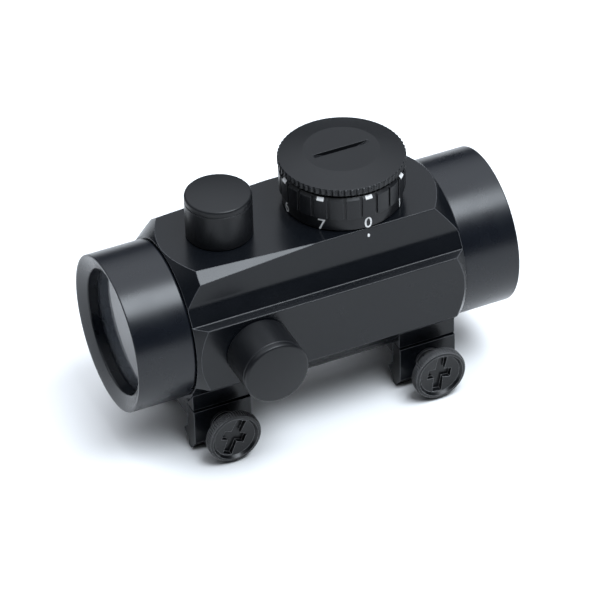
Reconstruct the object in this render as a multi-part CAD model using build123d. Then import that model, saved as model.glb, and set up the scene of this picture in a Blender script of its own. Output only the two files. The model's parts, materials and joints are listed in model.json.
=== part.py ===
from build123d import *
import os
from math import sqrt

# Tube-style red dot finder. Millimetres, +X forward (towards the objective), +Z up.
# Everything is drawn about the optical axis and lifted at export,
# so that z = 0 is the rail seat of the clamp, under the middle of the finder.

# ---- driving dimensions ----
axisHeight = 21.8           # optical axis above the rail seat
running = 0.05              # radial clearance of a shaft in its hole
slip = 0.30                 # clearance between curved faces that pass each other
snug = 0.10                 # radial clearance of parts that are assembled once
touch = 0.25                # flat gap under caps and knobs

# housing
housingLength = 68.8
topHalfWidth = 14.0
topHeight = 19.7            # top flat above the axis
shoulder = (15.2, 12.4)     # foot of the steep upper flank (half width, height)
ledge = (17.6, 8.6)         # inner corner of the side ledge
sideHalfWidth = 20.2
bottomHalfWidth = 11.5
bottomDepth = 17.0          # bottom flat below the axis
endRadius = 19.55           # turned radius at each end face
endSlope = 1.2              # length of the end taper per radius gained
taperRadius = 30.0          # where the end taper has left the section
cornerRear = 11.5           # half width of the top flat at the rear end
cornerDrop = 2.15           # how far the corner cut comes down at the rear end
cornerWide = 14.35          # half width of the lower edge of that cut
boreRadius = 15.2
spigotRadius = 16.8
edgeBreak = 0.25

# bells, glass and rings
bellRadius = 19.0
bellLength = 14.3
mouthRadius = 18.4          # outer edge of the mouth chamfer
lipRadius = 15.2
mouthDepth = 1.5
glassDepth = 4.1            # outer face of the glass behind the rim
glassRadius = 15.6
glassThickness = 2.0
ringThickness = 2.2
ringBore = 14.2
oRingWire = 0.55

# emitter tube and its pivot
tubeRadius = 13.4
tubeBore = 12.3
tubeRear = -31.0
tubeShoulder = 22.5
neckRadius = 11.5
neckBore = 10.6
neckEnd = 30.0
pivotX = 27.0
pivotRingBore = 12.1
pivotRingRadius = 14.7
pivotRingLength = 4.6
pivotPinRadius = 0.9
ledRadius = 1.5
ledLength = 3.0
bracketX = -27.0

# adjusters
adjusterX = -19.5
capRadius = 7.87
capHeight = 10.8
capWall = 1.17
capRoof = 1.3
postHeight = 5.0
postSpigot = 4.5
postSpigotLength = 4.2
adjusterRadius = 4.8
adjusterHeight = 1.6
adjusterStem = 2.4
plungerRadius = 1.5
plungerHead = 2.4

# rheostat and battery
dialX = 11.8
dialSkirt = 14.1
dialFlute = 14.8
fluteCount = 24
fluteBottom = 3.9
dialHeight = 9.7
numberCount = 8
baseRadius = 12.8
baseHeight = 2.4
bossRadius = 4.0
boardHeight = 0.8
boardRadius = 9.4
detentRadius = 11.2
ballRadius = 0.8
webBottom = 3.9
webHeight = 1.2
batteryRadius = 10.0
batteryHeight = 3.2
batteryCapRadius = 15.0
batteryCapBottom = 10.5
batteryCapEdge = 12.26
batteryCapTop = 13.5
batteryCapDisc = 9.0
slotLength = 14.2
slotWidth = 1.3
slotDepth = 1.6

# mount
stripHalfWidth = 10.4
stripDepth = 18.9
footX = 26.6
footLength = 14.5
footHalfWidth = 14.1
footDepth = 18.0
padHalfWidth = 10.35
jawFace = 14.5              # outer face of each jaw from the middle plane
railHalf = 10.6             # widest half width of the clamped rail
railDrop = 2.74             # how far below its top the rail is widest
toothHalf = 8.0             # tip of each clamping tooth from the middle plane
jawBottom = 30.7            # underside of the jaws below the axis
crossDepth = 23.4           # cross screws below the axis
crossRadius = 1.4
shankPast = 1.4             # screw end beyond the far face of the clamp
headRadius = 6.7
headThickness = 2.6
collarRadius = 2.6
collarLength = 4.1
washerThickness = 0.6
washerRadius = 3.2
nutWidth = 5.5
nutThickness = 2.4

railTop = -axisHeight
rim = housingLength / 2 + bellLength
spigotLength = bellLength - glassDepth - glassThickness - ringThickness - 0.4
pieces = {}


def keep(name, *solids):
    """A node of one or more solids, drawn about the optical axis."""
    lifted = [Pos(0, 0, axisHeight) * s for s in solids]
    pieces[name] = lifted[0] if len(lifted) == 1 else Compound(children=lifted)


def alongX(x0, x1, radius, bore=0.0):
    body = Pos((x0 + x1) / 2, 0, 0) * Rot(0, 90, 0) * Cylinder(radius, abs(x1 - x0))
    if bore:
        body -= Pos((x0 + x1) / 2, 0, 0) * Rot(0, 90, 0) * Cylinder(bore, abs(x1 - x0) + 2)
    return body


def upright(z0, z1, radius, bore=0.0):
    body = Pos(0, 0, (z0 + z1) / 2) * Cylinder(radius, z1 - z0)
    if bore:
        body -= Pos(0, 0, (z0 + z1) / 2) * Cylinder(bore, z1 - z0 + 2)
    return body


def turnedX(*outline):
    """A solid of revolution about X from (x, radius) points."""
    return revolve(make_face(Polyline(*[(x, 0, r) for x, r in outline], close=True)), axis=Axis.X)


def turnedZ(*outline):
    """A solid of revolution about Z from (radius, z) points."""
    return revolve(make_face(Polyline(*[(r, 0, z) for r, z in outline], close=True)), axis=Axis.Z)


def sectionX(outline, x0, x1, radii=None):
    """A bar along X from a (y, z) outline, with a radius for each corner if given."""
    points = [(x0, y, z) for y, z in outline]
    wire = FilletPolyline(*points, radius=radii, close=True) if radii else Polyline(*points, close=True)
    return extrude(make_face(wire), amount=x1 - x0, dir=(1, 0, 0))


def mirroredY(outline):
    """A half outline on the +Y side, closed by its mirror image."""
    return list(outline) + [(-y, z) for y, z in reversed(outline)]


def onTop(solid, x=adjusterX):
    """From a seat drawn on z = 0 to the top flat of the housing."""
    return Pos(x, 0, topHeight) * solid


def onSide(solid, x=adjusterX):
    """From a seat drawn on z = 0 to the right-hand side face of the housing."""
    return Pos(x, -sideHalfWidth, 0) * Rot(90, 0, 0) * solid


# ---- main housing ----
def housingBar():
    half = [(topHalfWidth, topHeight), shoulder, ledge, (sideHalfWidth, ledge[1]),
            (sideHalfWidth, -ledge[1]), (ledge[0], -ledge[1]), (shoulder[0], -shoulder[1]),
            (bottomHalfWidth, -bottomDepth)]
    rounds = [edgeBreak, 4.0, 0.4, edgeBreak, edgeBreak, 0.4, 4.0, edgeBreak]
    half0 = housingLength / 2
    bar = sectionX(mirroredY(half), -half0, half0, rounds + rounds[::-1])
    spread = (taperRadius - endRadius) * endSlope
    turned = turnedX((-half0, 0), (-half0, endRadius), (-half0 + spread, taperRadius),
                     (half0 - spread, taperRadius), (half0, endRadius), (half0, 0))
    return bar & turned


def cornerCut(side):
    """The flat that widens towards the rear along each top corner."""
    rear = -(housingLength / 2 - 3.4)
    start = Vector(0, side * topHalfWidth, topHeight)
    along = Vector(rear, side * cornerRear, topHeight) - start
    across = Vector(rear, side * cornerWide, topHeight - cornerDrop) - start
    normal = along.cross(across)
    if normal.Z < 0:
        normal = normal * -1
    plane = Plane(origin=start, x_dir=along, z_dir=normal)
    block = plane.location * Pos(0, 0, 4) * Box(90, 30, 8)
    return block & (Pos(-30, 0, topHeight) * Box(60, 60, 30))


def adjusterHoles():
    """Through the wall, from each seat down into the bore."""
    top, side = [upright(boreRadius - seat - 1.5, 1, postSpigot + snug) for seat in (topHeight, sideHalfWidth)]
    return [onTop(top), onSide(side)]


def makeHousing():
    half = housingLength / 2
    body = housingBar()
    for side in (-1, 1):
        body -= cornerCut(side)
    body += alongX(-half - spigotLength, half + spigotLength, spigotRadius)
    body -= alongX(-rim, rim, boreRadius)
    for hole in adjusterHoles():
        body -= hole
    body -= onTop(upright(-5, 1, bossRadius - 1), dialX)
    for x, y, z in baseScrewPlaces():
        body -= Pos(x, y, z) * upright(0, baseScrewLength - 1.0, baseScrewRadius + snug)
    for place in rheostatScrewPlaces():
        body -= onTop(place * upright(-rheostatScrewLength, 1, rheostatScrewRadius + snug), dialX)
    for pin in pivotPins((0, 1), boreRadius - 1, boreRadius + pinBite + snug, snug):
        body -= pin
    return body


# ---- bells, glass, rings ----
def makeBell(side):
    """One bell, drawn at the front and turned round for the rear."""
    half = housingLength / 2
    seat = rim - glassDepth
    inner = seat - glassThickness - ringThickness - 0.2
    pocket = 2 * oRingWire + 0.1
    bell = turnedX((half, spigotRadius + 2 * oRingWire + snug), (half, bellRadius - 0.3), (half + 0.3, bellRadius),
                   (rim - 0.4, bellRadius), (rim, bellRadius - 0.4), (rim, mouthRadius),
                   (rim - mouthDepth, lipRadius), (seat, lipRadius), (seat, glassRadius + snug),
                   (inner, glassRadius + snug), (inner, spigotRadius + snug),
                   (half + pocket, spigotRadius + snug), (half + pocket, spigotRadius + 2 * oRingWire + snug))
    return bell if side > 0 else Rot(0, 0, 180) * bell


def makeGlass(side, hollow):
    """A disc whose inner face is hollowed by the given depth (0 for a plain window)."""
    seat = rim - glassDepth
    back = seat - glassThickness
    glass = alongX(back, seat, glassRadius)
    if hollow:
        ball = ((glassRadius - 1.5) ** 2 + hollow ** 2) / (2 * hollow)
        glass -= Pos(back + hollow - ball, 0, 0) * Sphere(ball)
    return glass if side > 0 else Rot(0, 0, 180) * glass


def makeGlassRing(side):
    back = rim - glassDepth - glassThickness
    ring = alongX(back - ringThickness, back, glassRadius, ringBore)
    for angle in (0, 180):
        ring -= Rot(angle, 0, 0) * Pos(back - ringThickness, 0, (ringBore + glassRadius) / 2) * Box(1.4, 1.2, 4)
    return ring if side > 0 else Rot(0, 0, 180) * ring


def makeBellSeal(side):
    centre = side * (housingLength / 2 + oRingWire)
    return Pos(centre, 0, 0) * Rot(0, 90, 0) * Torus(spigotRadius + snug / 2 + oRingWire, oRingWire)


# ---- emitter tube on its pivot ring ----
pinBite = 1.0


def pivotPins(direction, inner, outer, gap=0.0):
    """Two pins on opposite sides of the pivot, along Y or along Z."""
    turn = Rot(0, 0, 0) if direction == (0, 1) else Rot(90, 0, 0)
    pin = upright(inner, outer, pivotPinRadius + gap)
    return [Pos(pivotX, 0, 0) * turn * pin, Pos(pivotX, 0, 0) * turn * Rot(180, 0, 0) * pin]


def makePivotRing():
    half = pivotRingLength / 2
    ring = alongX(pivotX - half, pivotX + half, pivotRingRadius, pivotRingBore)
    for pin in pivotPins((0, 1), pivotRingBore - 1, pivotRingRadius + 1, running):
        ring -= pin
    for pin in pivotPins((1, 0), pivotRingBore - 1, pivotRingRadius + 1, snug):
        ring -= pin
    return ring


def makeEmitterTube():
    tube = turnedX((tubeRear, tubeBore), (tubeRear, tubeRadius), (tubeShoulder, tubeRadius),
                   (tubeShoulder, neckRadius), (neckEnd, neckRadius), (neckEnd, neckBore),
                   (tubeShoulder - 2, neckBore), (tubeShoulder - 2, tubeBore))
    for pin in pivotPins((1, 0), neckBore - 1, neckRadius + 1, running):
        tube -= pin
    return tube


def makeBracket():
    foot = sectionX([(-3, -11.0), (3, -11.0), (3, -8.0), (-3, -8.0)], bracketX - 1.5, bracketX + 1.5)
    foot &= alongX(bracketX - 3, bracketX + 3, tubeBore)
    base = sectionX([(-3, -13), (3, -13), (3, -10.9), (-3, -10.9)], bracketX - 3, bracketX + 3)
    base &= alongX(bracketX - 3, bracketX + 3, tubeBore - running)
    bracket = foot + base
    return bracket - Pos(0, 0, -9.4) * alongX(bracketX - 4, bracketX + 4, ledRadius * 0.6 + snug)


def makeLed():
    front = bracketX + 1.5
    body = alongX(front, front + ledLength - ledRadius, ledRadius)
    body += Pos(front + ledLength - ledRadius, 0, 0) * Sphere(ledRadius)
    body &= alongX(front, front + ledLength, ledRadius)
    body += alongX(front - 2, front, ledRadius * 0.6)
    return Pos(0, 0, -9.4) * body


def makeBiasSpring():
    """A leaf pressed flat against the wall of the bore, opposite the two plungers."""
    reach, bow, thick, wide = 9.0, 0.25, 0.3, 5.0
    arch = (reach ** 2 + bow ** 2) / (2 * bow)
    leaf = Cylinder(arch, wide) - Cylinder(arch - thick, wide + 1)
    leaf = Rot(90, 0, 0) * leaf & Pos(0, 0, arch) * Box(2 * reach, 2 * wide, 2 * bow + 2 * thick)
    low = sqrt(boreRadius ** 2 - wide ** 2 / 4) - 0.04
    return Rot(45, 0, 0) * Pos(adjusterX, 0, bow + thick - low - arch) * leaf


# ---- the two adjusters, drawn on z = 0 ----
def makePost():
    post = turnedZ((0, -postSpigotLength), (postSpigot, -postSpigotLength), (postSpigot, 0),
                   (capRadius - capWall - slip, 0), (capRadius - capWall - slip, 0.6),
                   (capRadius - capWall - 1.0, 0.6), (capRadius - capWall - 1.0, 1.8),
                   (capRadius - capWall - slip, 1.8), (capRadius - capWall - slip, postHeight - 0.3),
                   (capRadius - capWall - slip - 0.3, postHeight), (0, postHeight))
    post -= upright(-postSpigotLength - 1, postHeight + 1, plungerRadius + running)
    return post - upright(postHeight - 2.0, postHeight + 1, adjusterStem + snug)


def makePostSeal():
    return Pos(0, 0, 1.2) * Torus(capRadius - capWall - 0.55, 0.42)


def makeAdjuster():
    bottom = postHeight + snug
    head = turnedZ((0, bottom), (adjusterRadius, bottom), (adjusterRadius, bottom + adjusterHeight - 0.2),
                   (adjusterRadius - 0.2, bottom + adjusterHeight), (0, bottom + adjusterHeight))
    head += upright(bottom - 1.9, bottom, adjusterStem)
    return head - Pos(0, 0, bottom + adjusterHeight) * Box(2 * adjusterRadius + 1, 0.9, 1.6)


def makePlunger(seatHeight):
    reach = seatHeight - tubeRadius - slip
    return turnedZ((0, -reach), (plungerRadius - 0.3, -reach), (plungerRadius, -reach + 0.3),
                   (plungerRadius, plungerHead), (0, plungerHead))


def makeCap():
    top = touch + capHeight
    round0 = 0.6
    groove = top - 1.5
    cap = turnedZ((capRadius - capWall, touch), (capRadius - 0.2, touch), (capRadius, touch + 0.2),
                  (capRadius, groove - 0.3), (capRadius - 0.14, groove - 0.15), (capRadius, groove),
                  (capRadius, top - round0), (capRadius - round0 * 0.3, top - round0 * 0.3),
                  (capRadius - round0, top), (0, top), (0, top - capRoof), (capRadius - capWall, top - capRoof))
    return cap


# ---- rheostat, drawn on z = 0 ----
rheostatScrewRadius = 0.9
rheostatScrewLength = 3.4
rheostatScrewRing = 7.4


def rheostatScrewPlaces():
    return [Rot(0, 0, 30 + 120 * i) * Pos(rheostatScrewRing, 0, 0) for i in range(3)]


def makeRheostatBase():
    base = upright(0, baseHeight, baseRadius, 0) + upright(baseHeight, baseHeight + boardHeight, bossRadius - snug)
    base -= upright(-1, baseHeight + 5, pivotShank + snug)
    for place in rheostatScrewPlaces():
        base -= place * upright(-1, baseHeight + 1, rheostatScrewRadius + snug)
        base -= place * upright(baseHeight - 1.1, baseHeight + 1, 2 * rheostatScrewRadius + snug)
    return base - Pos(0, detentRadius, 0) * upright(0.4, baseHeight + 1, ballRadius + snug)


def makeRheostatScrew():
    head = upright(baseHeight - 1.1, baseHeight - 0.1, 2 * rheostatScrewRadius)
    screw = head + upright(-rheostatScrewLength + 0.2, baseHeight - 1.1, rheostatScrewRadius)
    return screw - Pos(0, 0, baseHeight - 0.1) * Box(5, 0.5, 0.8)


def makeBoard():
    board = upright(baseHeight, baseHeight + boardHeight, boardRadius, bossRadius)
    return board


pivotShank = 2.5
pivotHead = 4.2


def makePivotScrew():
    top = webBottom + webHeight
    screw = upright(1.0, top + 0.05, pivotShank) + upright(top + 0.05, top + 1.05, pivotHead)
    return screw - Pos(0, 0, top + 1.05) * Box(2 * pivotHead + 1, 0.9, 1.0)


def makeDetentSpring():
    wire = 0.15
    coil = Helix(0.34, 1.02, ballRadius - wire, center=(0, 0, 0.4 + wire))
    section = Plane(origin=coil @ 0, z_dir=coil % 0) * Circle(wire)
    return Pos(0, detentRadius, 0) * sweep(section, path=coil, is_frenet=True)


def makeDial():
    top = dialHeight
    web = webBottom + webHeight
    well = batteryRadius + slip
    thread = batteryCapThread + slip
    dial = turnedZ((baseRadius + slip, touch), (dialSkirt - 0.2, touch), (dialSkirt, touch + 0.2),
                   (dialSkirt, fluteBottom - 0.35), (dialFlute, fluteBottom),
                   (dialFlute, top - 0.7), (dialFlute - 0.7, top), (thread, top), (thread, threadBottom),
                   (well, threadBottom), (well, web), (pivotShank + running, web),
                   (pivotShank + running, webBottom), (10.2, webBottom), (10.2, baseHeight + 0.85),
                   (baseRadius + slip, baseHeight + 0.85))
    groove = Pos(dialFlute + 0.15, 0, (fluteBottom + top) / 2) * Box(1.3, 0.7, top - fluteBottom + 2)
    for i in range(fluteCount):
        dial -= Rot(0, 0, 360 / fluteCount * (i + 0.5)) * groove
    dimple = Pos(0, detentRadius, baseHeight + 0.85 + 0.25 - ballRadius - snug) * Sphere(ballRadius + snug)
    for i in range(numberCount):
        dial -= Rot(0, 0, 360 / numberCount * i) * dimple
    return dial


def makeWiper():
    strip = Pos(6.4, 0, webBottom - 0.125) * Box(4.4, 2.0, 0.25)
    contact = Pos(7.6, 0, webBottom - 0.25 + 0.2) * Sphere(0.58)
    contact &= upright(0, webBottom - 0.25, 12)
    return strip + contact


def makeBatteryContact():
    web = webBottom + webHeight
    plate = upright(web, web + 0.3, 9.5, 5.0)
    dome = Pos(7.2, 0, batteryBottom - 2.05) * Sphere(2.0)
    dome &= upright(web + 0.3, batteryBottom, 12)
    for i in range(3):
        plate += Rot(0, 0, 120 * i) * dome
    return plate


batteryBottom = webBottom + webHeight + 1.3
batteryCapThread = 12.0
threadBottom = 7.3


def makeBattery():
    low, high = batteryBottom, batteryBottom + batteryHeight
    edge = 0.35
    return turnedZ((0, low), (batteryRadius - 0.9, low), (batteryRadius - 0.9, low + edge),
                   (batteryRadius, low + edge + 0.3), (batteryRadius, high - 0.25), (batteryRadius - 0.25, high), (0, high))


def makeBatteryCap():
    ceiling = batteryBottom + batteryHeight + 0.1
    inner = batteryRadius + 2 * slip
    cap = turnedZ((inner, threadBottom + slip), (batteryCapThread, threadBottom + slip),
                  (batteryCapThread, batteryCapBottom), (batteryCapRadius - 0.3, batteryCapBottom),
                  (batteryCapRadius, batteryCapBottom + 0.3), (batteryCapRadius, batteryCapEdge - 0.15),
                  (batteryCapRadius - 0.2, batteryCapEdge), (batteryCapDisc, batteryCapTop),
                  (0, batteryCapTop), (0, ceiling), (inner, ceiling))
    cutter = (slotLength ** 2 / 4 + slotDepth ** 2) / (2 * slotDepth)
    wheel = Pos(0, 0, batteryCapTop - slotDepth + cutter) * Rot(90, 0, 0) * Cylinder(cutter, slotWidth)
    return cap - wheel


def makeBatterySeal():
    gap = batteryCapBottom - dialHeight
    return Pos(0, 0, dialHeight + gap / 2) * Torus(13.0, gap / 2 - 0.02)


# ---- mount ----
baseScrewRadius = 1.25
baseScrewLength = 4.4
baseScrewX = 12.5
baseScrewY = 7.6


def baseScrewPlaces():
    low = -stripDepth
    return [(sx * baseScrewX, sy * baseScrewY, low) for sx in (-1, 1) for sy in (-1, 1)]


def toothOutline():
    """The clamping tooth on the +Y side, from the seat down, for a 45 degree rail flank."""
    start = railHalf + running
    flankTop = railTop - railDrop + (start - railHalf)
    tipZ = flankTop - (start - toothHalf)
    return [(start, flankTop), (toothHalf, tipZ), (10.3, tipZ - 1.6), (10.3, -jawBottom)]


def makeMountBase():
    flank = (bottomDepth - shoulder[1]) / (shoulder[0] - bottomHalfWidth)
    sideTop = -bottomDepth + (footHalfWidth - bottomHalfWidth) * flank
    strip = sectionX([(-stripHalfWidth, -bottomDepth), (stripHalfWidth, -bottomDepth),
                      (stripHalfWidth, -stripDepth), (-stripHalfWidth, -stripDepth)],
                     -footX - footLength / 2, footX + footLength / 2)
    block = [(-bottomHalfWidth, -bottomDepth), (bottomHalfWidth, -bottomDepth), (footHalfWidth, sideTop),
             (footHalfWidth, -footDepth), (jawFace, -footDepth - 0.4), (jawFace, -jawBottom + 3.2),
             (11.8, -jawBottom)]
    block += list(reversed(toothOutline()))
    block += [(railHalf + running, railTop), (-padHalfWidth, railTop), (-padHalfWidth, -footDepth),
              (-footHalfWidth, -footDepth), (-footHalfWidth, sideTop)]
    base = strip
    for side in (-1, 1):
        middle = side * footX
        base += sectionX(block, middle - footLength / 2, middle + footLength / 2)
        base -= crossHole(middle, crossRadius + 0.15, toothHalf - 1)
        base -= Pos(middle, jawFace, -crossDepth) * nutBlank(nutWidth + 2 * snug, 2 * nutThickness + 2 * snug)
    for x, y, z in baseScrewPlaces():
        base -= Pos(x, y, z) * upright(-1, 5, baseScrewRadius + snug)
        base -= Pos(x, y, z) * turnedZ((0, -0.01), (baseScrewRadius * 2, -0.01), (baseScrewRadius + snug, 1.2), (0, 1.2))
    return base


def crossHole(middle, radius, start=-2 * jawFace):
    """A hole across the clamp, from a given distance beyond the middle plane to past the far face."""
    length = 2 * jawFace - start
    return Pos(middle, start + length / 2, -crossDepth) * Rot(90, 0, 0) * Cylinder(radius, length)


def nutBlank(width, thickness):
    hexagon = RegularPolygon(width / 2, 6, major_radius=False)
    return Rot(90, 0, 0) * extrude(hexagon, amount=thickness / 2, both=True)


def makeNut(middle):
    centre = jawFace - nutThickness / 2
    nut = Pos(middle, centre, -crossDepth) * nutBlank(nutWidth, nutThickness)
    return nut - crossHole(middle, crossRadius + running)


def makeBaseScrew(x, y, z):
    head = turnedZ((0, 0.1), (baseScrewRadius * 2 - 0.25, 0.1), (baseScrewRadius, 1.25),
                   (baseScrewRadius, baseScrewLength - 1.2), (0, baseScrewLength - 1.2))
    return Pos(x, y, z) * (head - Box(1.0, 1.0, 1.6))


def makeJaw(middle):
    start = railHalf + running
    outline = [(jawFace, -footDepth - 0.5), (start, -footDepth - 0.3)] + toothOutline()
    outline += [(11.8, -jawBottom), (jawFace, -jawBottom + 3.2)]
    low, high = middle - footLength / 2, middle + footLength / 2
    jaw = sectionX([(-y, z) for y, z in outline], low, high)
    return jaw - crossHole(middle, crossRadius + snug)


def makeWasher(middle):
    ring = upright(0, washerThickness, washerRadius, crossRadius + snug)
    return Pos(middle, -jawFace, -crossDepth) * Rot(90, 0, 0) * ring


def makeThumbScrew(middle, turn):
    """Drawn standing on the jaw's face, then laid over to point out of the side."""
    neck = washerThickness + collarLength
    face = neck + headThickness
    screw = turnedZ((0, washerThickness), (collarRadius, washerThickness), (collarRadius, neck),
                    (headRadius - 0.5, neck), (headRadius, neck + 0.4), (headRadius, face - 0.7),
                    (headRadius - 0.7, face), (headRadius - 1.3, face), (0, face - 1.2))
    screw += upright(-2 * jawFace - shankPast, washerThickness, crossRadius)
    for angle, length in ((turn, 9.6), (turn + 90, 5.6)):
        screw -= Pos(0, 0, face) * Rot(0, 0, angle) * Box(length, 2.0, 3.6)
    return Pos(middle, -jawFace, -crossDepth) * Rot(90, 0, 0) * screw


# ---- nodes ----
keep("main_housing", makeHousing())
for name, glass, side, hollow in (("eyepiece", "window", -1, 0.0), ("objective", "lens", 1, 0.8)):
    keep(name + "_bell", makeBell(side))
    keep(name + "_" + glass, makeGlass(side, hollow))
    keep(name + "_retaining_ring", makeGlassRing(side))
    keep(name + "_o_ring", makeBellSeal(side))

keep("pivot_ring", makePivotRing())
keep("windage_pivot_pins", *pivotPins((0, 1), pivotRingBore + 0.2, boreRadius + pinBite))
keep("emitter_tube", makeEmitterTube())
keep("elevation_pivot_pins", *pivotPins((1, 0), neckBore + 0.1, pivotRingRadius - 0.2))
keep("emitter_bracket", makeBracket())
keep("led_emitter", makeLed())
keep("bias_spring", makeBiasSpring())

for name, place, seat in (("elevation", onTop, topHeight), ("windage", onSide, sideHalfWidth)):
    keep(name + "_turret_post", place(makePost()))
    keep(name + "_o_ring", place(makePostSeal()))
    keep(name + "_adjuster", place(makeAdjuster()))
    keep(name + "_plunger", place(makePlunger(seat)))
    keep(name + "_cap", place(makeCap()))

keep("rheostat_base", onTop(makeRheostatBase(), dialX))
keep("rheostat_screws", *[onTop(p * makeRheostatScrew(), dialX) for p in rheostatScrewPlaces()])
keep("switch_board", onTop(makeBoard(), dialX))
keep("dial_pivot_screw", onTop(makePivotScrew(), dialX))
keep("detent_ball", onTop(Pos(0, detentRadius, baseHeight) * Sphere(ballRadius), dialX))
keep("detent_spring", onTop(makeDetentSpring(), dialX))
keep("rheostat_dial", onTop(makeDial(), dialX))
keep("wiper_contact", onTop(makeWiper(), dialX))
keep("battery_contact", onTop(makeBatteryContact(), dialX))
keep("battery_cell", onTop(makeBattery(), dialX))
keep("battery_cap", onTop(makeBatteryCap(), dialX))
keep("battery_cap_o_ring", onTop(makeBatterySeal(), dialX))

keep("mount_base", makeMountBase())
keep("mount_base_screws", *[makeBaseScrew(*place) for place in baseScrewPlaces()])
keep("clamp_nuts", *[makeNut(side * footX) for side in (-1, 1)])
for name, side, turn in (("rear", -1, 65), ("front", 1, 80)):
    keep(name + "_jaw", makeJaw(side * footX))
    keep(name + "_clamp_washer", makeWasher(side * footX))
    keep(name + "_thumb_screw", makeThumbScrew(side * footX, turn))

os.makedirs("parts", exist_ok=True)
for name, solid in pieces.items():
    export_step(solid, "parts/" + name + ".step")
    print(name, round(solid.volume, 1))
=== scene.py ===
import json
from math import cos, pi, radians, sin

import bmesh
import bpy
from mathutils import Matrix, Vector


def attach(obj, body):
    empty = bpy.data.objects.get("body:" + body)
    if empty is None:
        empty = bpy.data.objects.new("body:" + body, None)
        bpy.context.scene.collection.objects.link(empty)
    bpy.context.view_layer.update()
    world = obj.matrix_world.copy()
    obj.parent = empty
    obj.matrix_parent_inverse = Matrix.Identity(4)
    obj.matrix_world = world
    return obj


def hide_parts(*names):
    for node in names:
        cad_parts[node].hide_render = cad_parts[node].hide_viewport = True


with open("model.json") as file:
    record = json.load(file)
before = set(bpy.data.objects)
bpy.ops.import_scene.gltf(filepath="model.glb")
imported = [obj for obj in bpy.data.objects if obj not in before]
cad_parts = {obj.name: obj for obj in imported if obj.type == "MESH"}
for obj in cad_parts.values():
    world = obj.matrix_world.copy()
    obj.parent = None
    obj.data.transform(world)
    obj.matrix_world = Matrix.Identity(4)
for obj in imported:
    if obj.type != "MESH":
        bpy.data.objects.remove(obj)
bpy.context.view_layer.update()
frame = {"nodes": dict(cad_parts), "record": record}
scene = bpy.context.scene
print("frame loaded")

axisHeight = 0.0218          # optical axis above the rail seat
topFace = 0.0197             # top face of the housing above the axis
sideFace = 0.0202            # flat side of the housing out from the axis
dialPlace = 0.0118           # dial ahead of the middle
milli = Matrix.Scale(0.001, 4)


def addNode(tree, kind, **sockets):
    node = tree.nodes.new(kind)
    for name, value in sockets.items():
        if hasattr(node, name):
            setattr(node, name, value)
        else:
            node.inputs[name.replace("_", " ")].default_value = value
    return node


def join(tree, source, output, target, socket):
    tree.links.new(source.outputs[output], target.inputs[socket])


def newGroup(name, inputs, outputs):
    group = bpy.data.node_groups.new(name, "ShaderNodeTree")
    for label, kind, value in inputs:
        socket = group.interface.new_socket(label, in_out="INPUT", socket_type=kind)
        if value is not None:
            socket.default_value = value
    for label, kind in outputs:
        group.interface.new_socket(label, in_out="OUTPUT", socket_type=kind)
    return group, addNode(group, "NodeGroupInput"), addNode(group, "NodeGroupOutput")


def placeGroup(tree, group, **sockets):
    node = tree.nodes.new("ShaderNodeGroup")
    node.node_tree = group
    for name, value in sockets.items():
        node.inputs[name].default_value = value
    return node


def edgeGroup():
    # rounds hard edges in the shading and marks where they are
    group, start, end = newGroup("edgeBreak", [("Width", "NodeSocketFloat", 0.0003)],
                                 [("Mask", "NodeSocketFloat"), ("Normal", "NodeSocketVector")])
    bevel = addNode(group, "ShaderNodeBevel", samples=6)
    flat = addNode(group, "ShaderNodeNewGeometry")
    dot = addNode(group, "ShaderNodeVectorMath", operation="DOT_PRODUCT")
    spread = addNode(group, "ShaderNodeMapRange", From_Min=0.995, From_Max=0.90)
    join(group, start, "Width", bevel, "Radius")
    join(group, bevel, "Normal", dot, 0)
    join(group, flat, "Normal", dot, 1)
    join(group, dot, "Value", spread, "Value")
    join(group, spread, "Result", end, "Mask")
    join(group, bevel, "Normal", end, "Normal")
    return group


def grainGroup():
    # blasted and anodised metal: a fine tooth over slow, cloudy variation
    group, start, end = newGroup("blastedGrain",
                                 [("Tooth", "NodeSocketFloat", 6000.0), ("Depth", "NodeSocketFloat", 0.1),
                                  ("Cloud", "NodeSocketFloat", 90.0), ("Normal", "NodeSocketVector", None)],
                                 [("Tooth", "NodeSocketFloat"), ("Cloud", "NodeSocketFloat"),
                                  ("Normal", "NodeSocketVector")])
    place = addNode(group, "ShaderNodeTexCoord")
    tooth = addNode(group, "ShaderNodeTexNoise", Detail=2.0)
    cloud = addNode(group, "ShaderNodeTexNoise", Detail=3.0)
    bump = addNode(group, "ShaderNodeBump", Distance=0.00004)
    for noise, label in ((tooth, "Tooth"), (cloud, "Cloud")):
        join(group, place, "Object", noise, "Vector")
        join(group, start, label, noise, "Scale")
        join(group, noise, "Fac", end, label)
    join(group, start, "Depth", bump, "Strength")
    join(group, start, "Normal", bump, "Normal")
    join(group, tooth, "Fac", bump, "Height")
    join(group, bump, "Normal", end, "Normal")
    return group


edgeBreak = edgeGroup()
blastedGrain = grainGroup()


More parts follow.
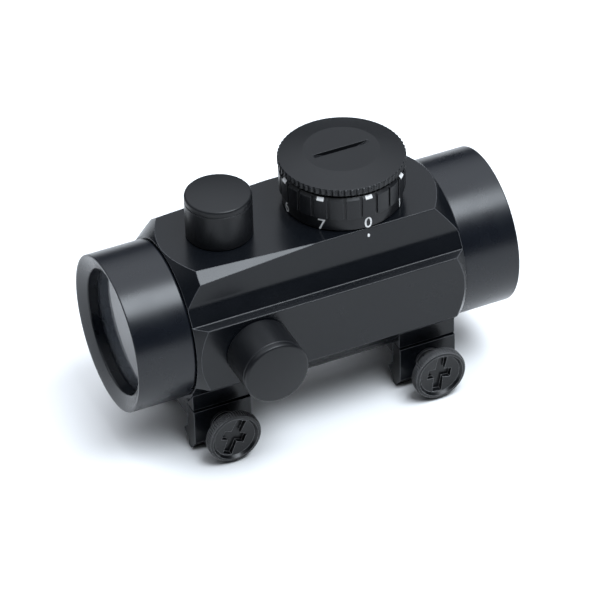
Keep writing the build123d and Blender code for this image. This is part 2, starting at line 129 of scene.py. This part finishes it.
# each finish gives a dark and a light tone that vary at random. Its third colour is a painted edge
# highlight, laid along hard edges by makeFinish
finishes = {
    "housing_black": dict(dark=(0.0025, 0.0032, 0.0045), light=(0.0045, 0.0054, 0.0072),
                          paintedEdgeLight=(0.22, 0.225, 0.24), rough=(0.22, 0.28),
                          tooth=5200.0, depth=0.06, edge=0.00024, ior=1.34),
    "bell_black": dict(dark=(0.0032, 0.0042, 0.0066), light=(0.0050, 0.0064, 0.0096),
                       paintedEdgeLight=(0.08, 0.083, 0.09), rough=(0.25, 0.31),
                       tooth=5200.0, depth=0.05, edge=0.00025, ior=1.40),
    "cap_black": dict(dark=(0.0045, 0.005, 0.006), light=(0.0075, 0.008, 0.0092),
                      paintedEdgeLight=(0.06, 0.062, 0.066), rough=(0.32, 0.40),
                      tooth=4600.0, depth=0.10, edge=0.0002, ior=1.33),
    "screw_black": dict(dark=(0.003, 0.0034, 0.0042), light=(0.006, 0.0064, 0.0074),
                        paintedEdgeLight=(0.42, 0.42, 0.43), rough=(0.22, 0.30),
                        tooth=6500.0, depth=0.06, edge=0.0002),
    "tube_black": dict(dark=(0.006, 0.006, 0.006), light=(0.010, 0.010, 0.010),
                       paintedEdgeLight=(0.02, 0.02, 0.02), rough=(0.6, 0.75),
                       tooth=4000.0, depth=0.12, edge=0.0002),
    "seal_rubber": dict(dark=(0.010, 0.010, 0.010), light=(0.018, 0.018, 0.018),
                        paintedEdgeLight=(0.02, 0.02, 0.02), rough=(0.6, 0.7),
                        tooth=3000.0, depth=0.1, edge=0.0001),
    "board_green": dict(dark=(0.02, 0.12, 0.05), light=(0.03, 0.18, 0.07),
                        paintedEdgeLight=(0.05, 0.2, 0.1), rough=(0.35, 0.45),
                        tooth=2500.0, depth=0.05, edge=0.0001),
    "led_red": dict(dark=(0.4, 0.01, 0.01), light=(0.5, 0.02, 0.02),
                    paintedEdgeLight=(0.6, 0.05, 0.05), rough=(0.12, 0.2),
                    tooth=2500.0, depth=0.02, edge=0.0001),
    "steel": dict(dark=(0.50, 0.50, 0.51), light=(0.62, 0.62, 0.63),
                  paintedEdgeLight=(0.7, 0.7, 0.7), rough=(0.22, 0.35),
                  tooth=5200.0, depth=0.05, edge=0.0001, metal=1.0),
    "brass": dict(dark=(0.55, 0.40, 0.16), light=(0.68, 0.52, 0.24),
                  paintedEdgeLight=(0.78, 0.62, 0.34), rough=(0.22, 0.35),
                  tooth=5200.0, depth=0.05, edge=0.0001, metal=1.0),
}


def makeFinish(name, look):
    material = bpy.data.materials.new(name)
    material.use_nodes = True
    tree = material.node_tree
    shader = tree.nodes["Principled BSDF"]
    shader.inputs["Metallic"].default_value = look.get("metal", 0.0)
    shader.inputs["IOR"].default_value = look.get("ior", 1.37)
    edge = placeGroup(tree, edgeBreak, Width=look["edge"])
    grain = placeGroup(tree, blastedGrain, Tooth=look["tooth"], Depth=look["depth"],
                       Cloud=look.get("cloud", 120.0))
    join(tree, edge, "Normal", grain, "Normal")
    join(tree, grain, "Normal", shader, "Normal")
    colour = addNode(tree, "ShaderNodeMix", data_type="RGBA")
    colour.inputs[6].default_value = (*look["dark"], 1)
    colour.inputs[7].default_value = (*look["light"], 1)
    join(tree, grain, "Cloud", colour, 0)
    # painted highlight: a lighter colour is mixed in along hard edges and speckled by the grain tooth. It
    # stands in for edge glints and knurl glints; on the white marks it is a slight painted shade
    paintedEdgeLight = addNode(tree, "ShaderNodeMix", data_type="RGBA")
    paintedEdgeLight.inputs[7].default_value = (*look["paintedEdgeLight"], 1)
    paintedEdgeMask = addNode(tree, "ShaderNodeMath", operation="MULTIPLY")
    join(tree, edge, "Mask", paintedEdgeMask, 0)
    join(tree, grain, "Tooth", paintedEdgeMask, 1)
    join(tree, paintedEdgeMask, "Value", paintedEdgeLight, 0)
    tree.links.new(colour.outputs[2], paintedEdgeLight.inputs[6])
    tree.links.new(paintedEdgeLight.outputs[2], shader.inputs["Base Color"])
    rough = addNode(tree, "ShaderNodeMapRange", From_Min=0.3, From_Max=0.7,
                    To_Min=look["rough"][0], To_Max=look["rough"][1])
    join(tree, grain, "Cloud", rough, "Value")
    join(tree, rough, "Result", shader, "Roughness")
    return material


def makeGlass(name):
    # coated glass, dark and a little hazy
    material = bpy.data.materials.new(name)
    material.use_nodes = True
    tree = material.node_tree
    shader = tree.nodes["Principled BSDF"]
    shader.inputs["Transmission Weight"].default_value = 0.75
    shader.inputs["IOR"].default_value = 1.32
    shader.inputs["Specular Tint"].default_value = (1.0, 0.90, 0.80, 1)
    grain = placeGroup(tree, blastedGrain, Tooth=400.0, Depth=0.0, Cloud=60.0)
    tint = addNode(tree, "ShaderNodeMix", data_type="RGBA")
    tint.inputs[6].default_value = (0.12, 0.135, 0.16, 1)
    tint.inputs[7].default_value = (0.16, 0.175, 0.20, 1)
    join(tree, grain, "Cloud", tint, 0)
    tree.links.new(tint.outputs[2], shader.inputs["Base Color"])
    rough = addNode(tree, "ShaderNodeMapRange", To_Min=0.01, To_Max=0.05)
    join(tree, grain, "Cloud", rough, "Value")
    join(tree, rough, "Result", shader, "Roughness")
    return material


materials = {name: makeFinish(name, look) for name, look in finishes.items()}
materials["coated_glass"] = makeGlass("coated_glass")
# white print for numbers, ticks and the index dot; its edge colour is a slight painted shade along the mark
# edges
materials["mark_white"] = makeFinish("mark_white", dict(
    dark=(0.55, 0.55, 0.55), light=(0.78, 0.78, 0.77), paintedEdgeLight=(0.5, 0.5, 0.5), rough=(0.5, 0.6),
    tooth=4000.0, depth=0.15, edge=0.00003, cloud=1500.0))
print("finishes made")

slotOf = {entry["node"]: entry["material_slot"] for entry in frame["record"]["subparts"]}
for nodeName, node in frame["nodes"].items():
    node.data.materials.clear()
    node.data.materials.append(materials[slotOf[nodeName]])


def addPiece(name, bm, body, slot, place=Matrix(), finish=None, sharp=32, bevel=0.0):
    bmesh.ops.remove_doubles(bm, verts=bm.verts, dist=1e-4)
    bmesh.ops.transform(bm, matrix=place @ milli, verts=bm.verts)
    bmesh.ops.recalc_face_normals(bm, faces=bm.faces)
    mesh = bpy.data.meshes.new(name)
    bm.to_mesh(mesh)
    bm.free()
    mesh.shade_smooth()
    mesh.set_sharp_from_angle(angle=radians(sharp))
    piece = bpy.data.objects.new(name, mesh)
    scene.collection.objects.link(piece)
    mesh.materials.append(finish or materials[slot])
    if bevel:
        rounding = piece.modifiers.new("edges", "BEVEL")
        rounding.width = bevel * 0.001
        rounding.segments = 2
        rounding.limit_method = "ANGLE"
        rounding.angle_limit = radians(25)
    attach(piece, body)
    return piece


def turned(bm, profile, steps=160):
    # a closed (radius, height) outline turned about Z
    ring = [bm.verts.new((r, 0, h)) for r, h in profile]
    edges = [bm.edges.new((a, b)) for a, b in zip(ring, ring[1:])]
    if profile[0][0] or profile[-1][0]:
        edges.append(bm.edges.new((ring[-1], ring[0])))
    bmesh.ops.spin(bm, geom=ring + edges, axis=(0, 0, 1), angle=2 * pi, steps=steps, use_merge=True)


def knurled(bm, levels, teeth):
    # rings of points stacked as (radius, height, tooth depth) and bridged, closed at both ends
    loops = []
    for radius, height, depth in levels:
        made = bmesh.ops.create_circle(bm, segments=teeth * 4, radius=radius,
                                       matrix=Matrix.Translation((0, 0, height)))["verts"]
        for i, vert in enumerate(made):
            if i % 4 > 1:
                vert.co.xy *= 1 - depth / radius
        loops.append([e for e in bm.edges if e.verts[0] in made and e.verts[1] in made])
    for low, high in zip(loops, loops[1:]):
        bmesh.ops.bridge_loops(bm, edges=low + high)
    for loop in (loops[0], loops[-1]):
        bmesh.ops.contextual_create(bm, geom=loop)


def carve(piece, name, bm, place, sharp):
    # cuts a closed tool shape out of a piece
    bmesh.ops.transform(bm, matrix=place @ milli, verts=bm.verts)
    bmesh.ops.recalc_face_normals(bm, faces=bm.faces)
    mesh = bpy.data.meshes.new(name)
    bm.to_mesh(mesh)
    bm.free()
    tool = bpy.data.objects.new(name, mesh)
    scene.collection.objects.link(tool)
    cut = piece.modifiers.new("cut", "BOOLEAN")
    cut.object = tool
    cut.solver = "EXACT"
    whole = bpy.data.meshes.new_from_object(piece.evaluated_get(bpy.context.evaluated_depsgraph_get()))
    piece.modifiers.clear()
    piece.data = whole
    whole.shade_smooth()
    whole.set_sharp_from_angle(angle=radians(sharp))
    bpy.data.objects.remove(tool)


# eyepiece and objective bells, millimetres along the optical axis
bell = dict(start=34.4, end=48.7, radius=19.0, mouth=18.4, lip=15.2, mouthDepth=1.5, glass=44.6,
            inner=15.7, ledge=40.2, thread=16.9, recess=18.0, recessEnd=35.6)


def makeBell(name, node, side):
    b = bell
    bm = bmesh.new()
    turned(bm, [(b["recess"], b["start"]), (b["radius"] - 0.3, b["start"]), (b["radius"], b["start"] + 0.3),
                (b["radius"], b["end"]), (b["mouth"], b["end"]), (b["lip"], b["end"] - b["mouthDepth"]),
                (b["lip"], b["glass"]), (b["inner"], b["glass"]), (b["inner"], b["ledge"]),
                (b["thread"], b["ledge"]), (b["thread"], b["recessEnd"]),
                (b["recess"], b["recessEnd"])], 192)
    place = Matrix.Translation((0, 0, axisHeight)) @ Matrix.Rotation(side * pi / 2, 4, "Y")
    piece = addPiece(name, bm, "housing", "bell_black", place, bevel=0.22)
    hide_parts(node)


makeBell("eyepieceBell", "eyepiece_bell", -1)
makeBell("objectiveBell", "objective_bell", 1)
print("bells made")

# screw caps over the adjusters, heights above the face each one stands on
cap = dict(x=-19.5, radius=7.87, low=0.25, top=11.05, wall=1.17, roof=1.3, groove=9.55)


def makeCap(name, node, body, place):
    c = cap
    bm = bmesh.new()
    inner = c["radius"] - c["wall"]
    turned(bm, [(inner, c["low"]), (c["radius"] - 0.15, c["low"]), (c["radius"], c["low"] + 0.15),
                (c["radius"], c["groove"] - 0.3), (c["radius"] - 0.16, c["groove"] - 0.15),
                (c["radius"], c["groove"]), (c["radius"], c["top"] - 0.6),
                (c["radius"] - 0.08, c["top"] - 0.3),
                (c["radius"] - 0.3, c["top"] - 0.08), (c["radius"] - 0.6, c["top"]), (0, c["top"]),
                (0, c["top"] - c["roof"]), (inner, c["top"] - c["roof"])], 128)
    piece = addPiece(name, bm, body, "cap_black", place)
    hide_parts(node)


topSeat = Matrix.Translation((cap["x"] * 0.001, 0, axisHeight + topFace))
sideSeat = Matrix.Translation((cap["x"] * 0.001, -sideFace, axisHeight)) @ Matrix.Rotation(pi / 2, 4, "X")
makeCap("elevationCap", "elevation_cap", "elevation_cap", topSeat)
makeCap("windageCap", "windage_cap", "windage_cap", sideSeat)
print("turret caps made")

# battery cap, heights above the top face of the housing
batteryCap = dict(teeth=66, radius=15.0, tooth=0.34, low=10.5, edge=12.26, top=13.5, disc=9.0,
                  spigot=12.0, bore=10.6, spigotLow=7.6, ceiling=9.7,
                  slot=14.2, slotWidth=1.3, slotDepth=1.6)
dialSeat = Matrix.Translation((dialPlace, 0, axisHeight + topFace))


def makeBatteryCap():
    b = batteryCap
    bm = bmesh.new()
    r, t = b["radius"], b["tooth"]
    knurled(bm, [(b["bore"], b["ceiling"], 0), (b["bore"], b["spigotLow"], 0),
                 (b["spigot"], b["spigotLow"], 0),
                 (b["spigot"], b["low"], 0), (r - 0.35, b["low"], 0), (r, b["low"] + 0.25, t),
                 (r, b["edge"] - 0.25, t), (r - 0.3, b["edge"] - 0.02, 0), (r - 0.4, b["edge"], 0),
                 (b["disc"] + 0.08, b["top"] - 0.02, 0), (b["disc"] - 0.08, b["top"], 0)], b["teeth"])
    piece = addPiece("batteryCap", bm, "battery_cap", "cap_black", dialSeat, sharp=7)
    cutter = (b["slot"] ** 2 / 4 + b["slotDepth"] ** 2) / (2 * b["slotDepth"])
    tool = bmesh.new()
    place = Matrix.Translation((0, 0, b["top"] - b["slotDepth"] + cutter)) @ Matrix.Rotation(pi / 2, 4, "X")
    bmesh.ops.create_cone(tool, cap_ends=True, segments=160, radius1=cutter, radius2=cutter,
                          depth=b["slotWidth"], matrix=place)
    carve(piece, "coin", tool, dialSeat, 7)
    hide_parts("battery_cap")


makeBatteryCap()
print("battery cap made")

# numbers and ticks round the dial
marks = dict(count=8, numberRadius=14.1, numberHeight=2.9, numberMiddle=1.75, bold=0.012, tickRadius=14.8,
             tickWidth=1.7, tickLow=8.75, tickHigh=9.55, slope=9.0, thickness=0.04)


def wrapRound(bm, radius, azimuth, middle, thickness):
    # bends a flat shape drawn in XY round the dial, facing outwards and leaning in with its top chamfer
    for vert in bm.verts:
        height = middle + vert.co.y
        angle = azimuth + vert.co.x / radius
        reach = radius + (thickness if vert.co.z > 0 else -0.1) - max(0, height - marks["slope"])
        vert.co = Vector((reach * cos(angle), reach * sin(angle), height))


def makeNumber(digit):
    m = marks
    text = bpy.data.curves.new("digit", "FONT")
    text.body = str(digit)
    text.size = m["numberHeight"] / 0.7
    text.align_x = "CENTER"
    text.extrude = 0.1
    text.offset = m["bold"]
    text.resolution_u = 6
    holder = bpy.data.objects.new("digit", text)
    scene.collection.objects.link(holder)
    flat = bpy.data.meshes.new_from_object(holder.evaluated_get(bpy.context.evaluated_depsgraph_get()))
    bm = bmesh.new()
    bm.from_mesh(flat)
    bpy.data.objects.remove(holder)
    bmesh.ops.translate(bm, vec=(0, -m["numberHeight"] / 2, 0), verts=bm.verts)
    azimuth = -pi / 2 + 2 * pi / m["count"] * digit
    wrapRound(bm, m["numberRadius"], azimuth, m["numberMiddle"], m["thickness"])
    return bm


def makeTick(digit):
    m = marks
    bm = bmesh.new()
    bmesh.ops.create_grid(bm, x_segments=6, y_segments=3, size=0.5)
    middle = (m["tickLow"] + m["tickHigh"]) / 2
    bmesh.ops.scale(bm, vec=(m["tickWidth"], m["tickHigh"] - m["tickLow"], 1), verts=bm.verts)
    made = bmesh.ops.extrude_face_region(bm, geom=bm.faces[:])["geom"]
    bmesh.ops.translate(bm, vec=(0, 0, 0.1), verts=[v for v in made if isinstance(v, bmesh.types.BMVert)])
    azimuth = -pi / 2 + 2 * pi / m["count"] * digit
    wrapRound(bm, m["tickRadius"], azimuth, middle, m["thickness"])
    return bm


for digit in range(marks["count"]):
    for label, shape in (("dialNumber", makeNumber(digit)), ("dialTick", makeTick(digit))):
        addPiece(label + str(digit), shape, "rheostat_dial", "cap_black", dialSeat,
                 finish=materials["mark_white"])

indexMark = dict(place=(11.7, -14.35, 17.9), radius=0.30, lean=9.3)


def makeIndexMark():
    m = indexMark
    bm = bmesh.new()
    bmesh.ops.create_cone(bm, cap_ends=True, segments=24, radius1=m["radius"], radius2=m["radius"],
                          depth=0.2)
    place = Matrix.Translation(Vector(m["place"]) * 0.001 + Vector((0, 0, axisHeight)))
    place = place @ Matrix.Rotation(radians(90 - m["lean"]), 4, "X") @ Matrix.Diagonal((1, 1.4, 1, 1))
    addPiece("indexMark", bm, "housing", "housing_black", place, finish=materials["mark_white"])


makeIndexMark()
print("numbers and marks made")

# clamp screws, lengths outwards from the face of the jaw
thumbScrew = dict(x=26.6, face=-14.5, height=-23.4, teeth=64, radius=6.7, tooth=0.3, washer=0.6,
                  neck=4.7, end=7.3, collar=2.6, shank=1.4, shankEnd=-30.4, dish=1.2,
                  longArm=9.6, shortArm=6.0, armWidth=2.4, armDepth=2.1)


def makeThumbScrew(name, node, side, turn):
    t = thumbScrew
    bm = bmesh.new()
    r, d = t["radius"], t["tooth"]
    knurled(bm, [(t["shank"] - 0.3, t["shankEnd"], 0), (t["shank"], t["shankEnd"] + 0.3, 0),
                 (t["shank"], t["washer"], 0), (t["collar"], t["washer"], 0), (t["collar"], t["neck"], 0),
                 (r - 0.5, t["neck"], 0), (r, t["neck"] + 0.4, d), (r, t["end"] - 0.6, d),
                 (r - 0.3, t["end"] - 0.15, d / 2), (r - 0.7, t["end"], 0), (r - 1.0, t["end"], 0),
                 (r - 1.6, t["end"] - 0.7, 0), (1.0, t["end"] - t["dish"], 0)], t["teeth"])
    place = Matrix.Translation((side * t["x"] * 0.001, t["face"] * 0.001, t["height"] * 0.001 + axisHeight))
    place = place @ Matrix.Rotation(pi / 2, 4, "X")
    piece = addPiece(name, bm, node, "screw_black", place, sharp=28)
    for angle, length in ((turn, t["longArm"]), (turn + 90, t["shortArm"])):
        arm = bmesh.new()
        lie = Matrix.Translation((0, 0, t["end"])) @ Matrix.Rotation(radians(angle), 4, "Z")
        size = Matrix.Diagonal((length, t["armWidth"], 2 * t["armDepth"], 1))
        bmesh.ops.create_cube(arm, size=1, matrix=lie @ size)
        carve(piece, "driver", arm, place, 28)
    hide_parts(node)


makeThumbScrew("rearThumbScrew", "rear_thumb_screw", -1, 65)
makeThumbScrew("frontThumbScrew", "front_thumb_screw", 1, 80)
print("thumb screws made")

studio = dict(floor=-0.0089, floorTone=0.90, lampWatts=9.6, lampSize=(0.55, 0.42), lampReach=0.95,
              lampFrom=(0.18, -0.38, 0.87), lampTone=(0.86, 0.93, 1.0), skyDark=0.02, skyBright=2.45,
              skyTone=(0.88, 0.93, 1.0))


def makeStudio():
    s = studio
    bm = bmesh.new()
    bmesh.ops.create_grid(bm, x_segments=1, y_segments=1, size=6)
    bmesh.ops.translate(bm, vec=(0, 0, s["floor"]), verts=bm.verts)
    mesh = bpy.data.meshes.new("floor")
    bm.to_mesh(mesh)
    bm.free()
    floor = bpy.data.objects.new("floor", mesh)
    scene.collection.objects.link(floor)
    material = bpy.data.materials.new("paper")
    material.use_nodes = True
    shader = material.node_tree.nodes["Principled BSDF"]
    shader.inputs["Base Color"].default_value = (s["floorTone"],) * 3 + (1,)
    shader.inputs["Roughness"].default_value = 0.7
    mesh.materials.append(material)

    lamp = bpy.data.lights.new("softbox", "AREA")
    lamp.shape = "RECTANGLE"
    lamp.size, lamp.size_y = s["lampSize"]
    lamp.energy = s["lampWatts"]
    lamp.color = s["lampTone"]
    holder = bpy.data.objects.new("softbox", lamp)
    scene.collection.objects.link(holder)
    away = Vector(s["lampFrom"]).normalized()
    holder.location = away * s["lampReach"]
    holder.rotation_euler = away.to_track_quat("Z", "Y").to_euler()

    world = bpy.data.worlds.new("room")
    scene.world = world
    world.use_nodes = True
    tree = world.node_tree
    back = tree.nodes["Background"]
    place = addNode(tree, "ShaderNodeTexCoord")
    dot = addNode(tree, "ShaderNodeVectorMath", operation="DOT_PRODUCT")
    dot.inputs[1].default_value = Vector((0.05, 0.20, 0.98)).normalized()
    back.inputs["Color"].default_value = (*s["skyTone"], 1)
    spread = addNode(tree, "ShaderNodeMapRange", From_Min=0.50, From_Max=0.95,
                     To_Min=s["skyDark"], To_Max=s["skyBright"])
    join(tree, place, "Generated", dot, 0)
    join(tree, dot, "Value", spread, "Value")
    join(tree, spread, "Result", back, "Strength")


def makeCamera():
    right = Vector((0.90776777, -0.41885699, -0.02272661))
    up = Vector((0.27002199, 0.54202619, 0.7957988))
    back = Vector((-0.32100747, -0.72853719, 0.60513451))
    data = bpy.data.cameras.new("camera")
    data.sensor_width = 36
    data.lens = 239.67
    data.clip_start, data.clip_end = 0.05, 20
    camera = bpy.data.objects.new("camera", data)
    camera.matrix_world = Matrix.Translation((-0.302312, -0.686732, 0.585442)) @ Matrix(
        (right, up, back)).transposed().to_4x4()
    scene.collection.objects.link(camera)
    scene.camera = camera


makeStudio()
makeCamera()
scene.view_settings.view_transform = "Standard"
print("studio made")
